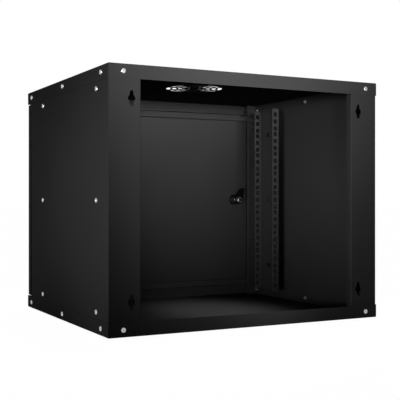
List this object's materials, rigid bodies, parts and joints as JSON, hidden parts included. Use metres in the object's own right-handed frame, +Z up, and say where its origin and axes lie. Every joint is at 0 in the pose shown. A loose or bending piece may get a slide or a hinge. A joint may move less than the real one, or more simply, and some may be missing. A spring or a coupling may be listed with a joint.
{
  "type": "wall mount network cabinet",
  "caption": "Wall-hung sheet steel cabinet for rack equipment, with inner rails, a hinged solid door with a cam lock, an open wall side and a round fan vent in the top.",
  "frame": {"origin": "middle of the underside of the bottom cover", "axes": "+Z up, +X to the right as seen from in front of the door, +Y to the wall side"},
  "size_m": [0.575, 0.485, 0.466],
  "materials": {
    "black_powder_coat": "fine satin powder coat",
    "bright_zinc": "bright zinc plating",
    "black_zinc": "black zinc plating",
    "spring_steel": "drawn wire",
    "white_nylon": "natural nylon",
    "lock_chrome": "chrome plating"
  },
  "bodies": {
    "cabinet": {"top_cover": "black_powder_coat", "bottom_cover": "black_powder_coat", "left_side_panel": "black_powder_coat", "right_side_panel": "black_powder_coat", "left_rear_post": "black_powder_coat", "right_rear_post": "black_powder_coat", "left_rail_channel": "black_powder_coat", "right_rail_channel": "black_powder_coat", "left_rail": "black_powder_coat", "right_rail": "black_powder_coat", "lower_hinge_washer": "white_nylon", "top_cover_side_screws": "bright_zinc", "bottom_cover_side_screws": "bright_zinc", "top_cover_rear_screws": "bright_zinc", "bottom_cover_rear_screws": "bright_zinc", "left_side_panel_screws": "bright_zinc", "right_side_panel_screws": "bright_zinc", "cover_side_nuts": "bright_zinc", "cover_rear_nuts": "bright_zinc", "left_side_panel_nuts": "bright_zinc", "right_side_panel_nuts": "bright_zinc", "rail_bolts": "black_zinc", "rail_nuts": "bright_zinc"},
    "door": {"door_panel": "black_powder_coat", "lower_hinge_pin": "bright_zinc", "hinge_pin_guide": "black_powder_coat", "hinge_spring": "spring_steel", "lock_housing": "lock_chrome", "lock_nut": "black_zinc"},
    "hinge_release": {"upper_hinge_pin": "bright_zinc", "hinge_stop_ring": "bright_zinc"},
    "lock": {"lock_plug": "lock_chrome", "lock_cam": "black_zinc", "lock_cam_nut": "bright_zinc"}
  },
  "joints": [
    {"name": "door_swing", "type": "hinge", "parent": "cabinet", "child": "door", "pos_m": [0.277, -0.23, 0.233], "axis": [0, 0, 1], "range_deg": [0, 180]},
    {"name": "upper_pin_pull", "type": "slide", "parent": "door", "child": "hinge_release", "axis": [0, 0, 1], "range_m": [-0.008, 0], "stiffness_N_per_m": 400, "springref_m": 0.012, "deforming": ["hinge_spring"]},
    {"name": "lock_turn", "type": "hinge", "parent": "door", "child": "lock", "pos_m": [-0.231, -0.24, 0.233], "axis": [0, -1, 0], "range_deg": [-24, 66]}
  ]
}
